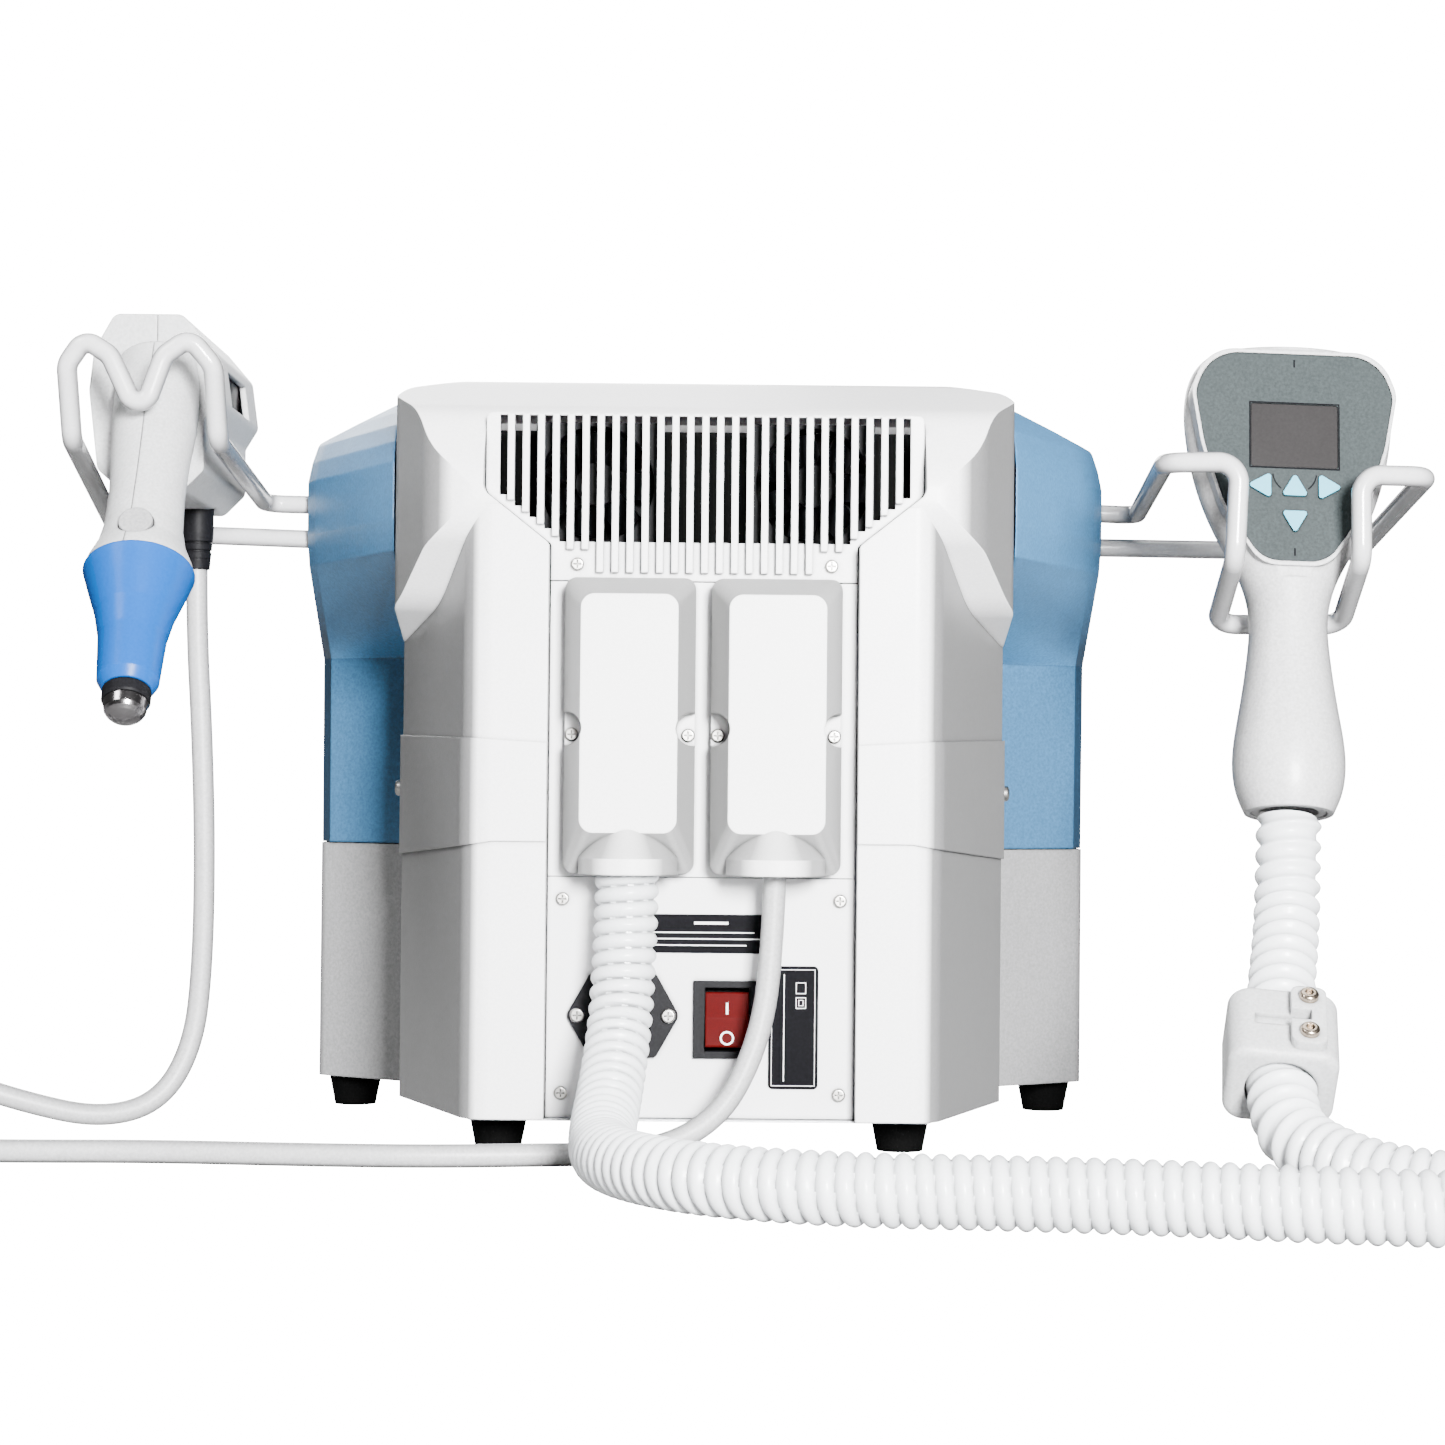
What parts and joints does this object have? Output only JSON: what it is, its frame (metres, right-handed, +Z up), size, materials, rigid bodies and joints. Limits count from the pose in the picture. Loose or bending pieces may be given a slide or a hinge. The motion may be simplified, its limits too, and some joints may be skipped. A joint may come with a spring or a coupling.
{
  "type": "ultrasound therapy device",
  "caption": "Desktop ultrasound therapy console with rear plug housings, mains inlet, vent grille, and corded hand units resting on bent wire holders.",
  "frame": {"origin": "on the table, midway between the four feet", "axes": "+X to the right as seen from behind, +Y from the rear panel to the screen, +Z up"},
  "size_m": [1.1064, 0.5255, 0.369],
  "materials": {
    "white_cover": "moulded, fine texture",
    "blue_cover": "satin, fine texture",
    "grey_cover": "satin, fine texture",
    "panel_white": "powder coat",
    "hand_unit_grey": "satin",
    "hand_unit_white": "satin gloss",
    "holder_wire": "white gloss paint",
    "black_plastic": "fine texture",
    "red_rocker": "gloss",
    "screw_steel": "zinc plated",
    "foot_rubber": "moulded rubber",
    "hose_white": "corrugated",
    "cable_grey": "smooth",
    "label_black": "printed foil",
    "face_teal": "satin foil",
    "display_dark": "screen",
    "button_cyan": "silicone",
    "sleeve_blue": "gloss",
    "tip_metal": "dark nickel",
    "clamp_screw": "nickel",
    "circuit_board": "solder mask",
    "sheet_metal": "galvanised",
    "sink_aluminium": "extruded",
    "pin_brass": "nickel brass",
    "screen_glass": "cover glass"
  },
  "bodies": {
    "root": {"head_shell": "white_cover", "column_cover_right": "white_cover", "column_cover_left": "white_cover", "column_band_right": "white_cover", "column_band_left": "white_cover", "side_shell_right": "blue_cover", "side_shell_left": "blue_cover", "lower_housing": "grey_cover", "lower_rear_panel": "panel_white", "connector_panel": "panel_white", "vent_grille": "white_cover", "connector_housing_left": "hand_unit_white", "connector_housing_right": "hand_unit_white", "cord_glands": "hand_unit_white", "cross_head_screws": "screw_steel", "inlet_body": "black_plastic", "inlet_pins": "pin_brass", "inlet_screws": "screw_steel", "switch_frame": "black_plastic", "label_plates": "label_black", "base_plate": "sheet_metal", "feet": "foot_rubber", "front_bezel": "white_cover", "touch_screen": "screen_glass", "chassis": "sheet_metal", "power_supply": "sheet_metal", "circuit_boards": "circuit_board", "heat_sink": "sink_aluminium", "fan_frames": "black_plastic", "holder_left": "holder_wire", "holder_right": "holder_wire", "hose_clamp": "hand_unit_grey", "clamp_screws": "clamp_screw", "hose_run_console": "hose_white", "hose_coil": "hose_white", "hose_run_handset": "hose_white", "cable_run_console": "cable_grey", "cable_coil": "cable_grey", "cable_run_applicator": "cable_grey"},
    "rocker": {"switch_rocker": "red_rocker"},
    "fan_left": {"fan_rotor_left": "black_plastic"},
    "fan_right": {"fan_rotor_right": "black_plastic"},
    "applicator": {"applicator_shell_left": "hand_unit_grey", "applicator_shell_right": "hand_unit_grey", "applicator_sleeve": "sleeve_blue", "applicator_collar": "black_plastic", "applicator_tip": "tip_metal", "applicator_display": "display_dark", "applicator_relief": "black_plastic", "transducer": "tip_metal"},
    "applicator_button": {"applicator_button": "grey_cover"},
    "handset": {"handset_front_shell": "hand_unit_white", "handset_back_shell": "hand_unit_white", "handset_face_panel": "face_teal", "handset_display": "display_dark", "hose_socket": "hand_unit_white"},
    "button_up": {"button_up": "button_cyan"},
    "button_down": {"button_down": "button_cyan"},
    "button_left": {"button_left": "button_cyan"},
    "button_right": {"button_right": "button_cyan"}
  },
  "joints": [
    {"name": "power_rocker", "type": "hinge", "parent": "root", "child": "rocker", "pos_m": [0.0118, -0.117, 0.06], "axis": [1, 0, 0], "range_deg": [0, 14]},
    {"name": "fan_left_spin", "type": "hinge", "parent": "root", "child": "fan_left", "pos_m": [-0.048, -0.104, 0.296], "axis": [0, 1, 0], "continuous": true},
    {"name": "fan_right_spin", "type": "hinge", "parent": "root", "child": "fan_right", "pos_m": [0.048, -0.104, 0.296], "axis": [0, 1, 0], "continuous": true},
    {"name": "applicator_lift", "type": "slide", "parent": "root", "child": "applicator", "axis": [-0.0289, 0.5649, 0.8247], "range_m": [0, 0.025]},
    {"name": "handset_lift", "type": "slide", "parent": "root", "child": "handset", "axis": [0.0308, 0.222, 0.9745], "range_m": [0, 0.02]},
    {"name": "applicator_button_press", "type": "slide", "parent": "applicator", "child": "applicator_button", "axis": [0, 0.825, -0.5651], "range_m": [0, 0.001], "stiffness_N_per_m": 200, "springref_m": -0.0004},
    {"name": "button_up_press", "type": "slide", "parent": "handset", "child": "button_up", "axis": [0, 0.975, -0.2222], "range_m": [0, 0.001], "stiffness_N_per_m": 200, "springref_m": -0.0004},
    {"name": "button_down_press", "type": "slide", "parent": "handset", "child": "button_down", "axis": [0, 0.975, -0.2222], "range_m": [0, 0.001], "stiffness_N_per_m": 200, "springref_m": -0.0004},
    {"name": "button_left_press", "type": "slide", "parent": "handset", "child": "button_left", "axis": [0, 0.975, -0.2222], "range_m": [0, 0.001], "stiffness_N_per_m": 200, "springref_m": -0.0004},
    {"name": "button_right_press", "type": "slide", "parent": "handset", "child": "button_right", "axis": [0, 0.975, -0.2222], "range_m": [0, 0.001], "stiffness_N_per_m": 200, "springref_m": -0.0004}
  ]
}
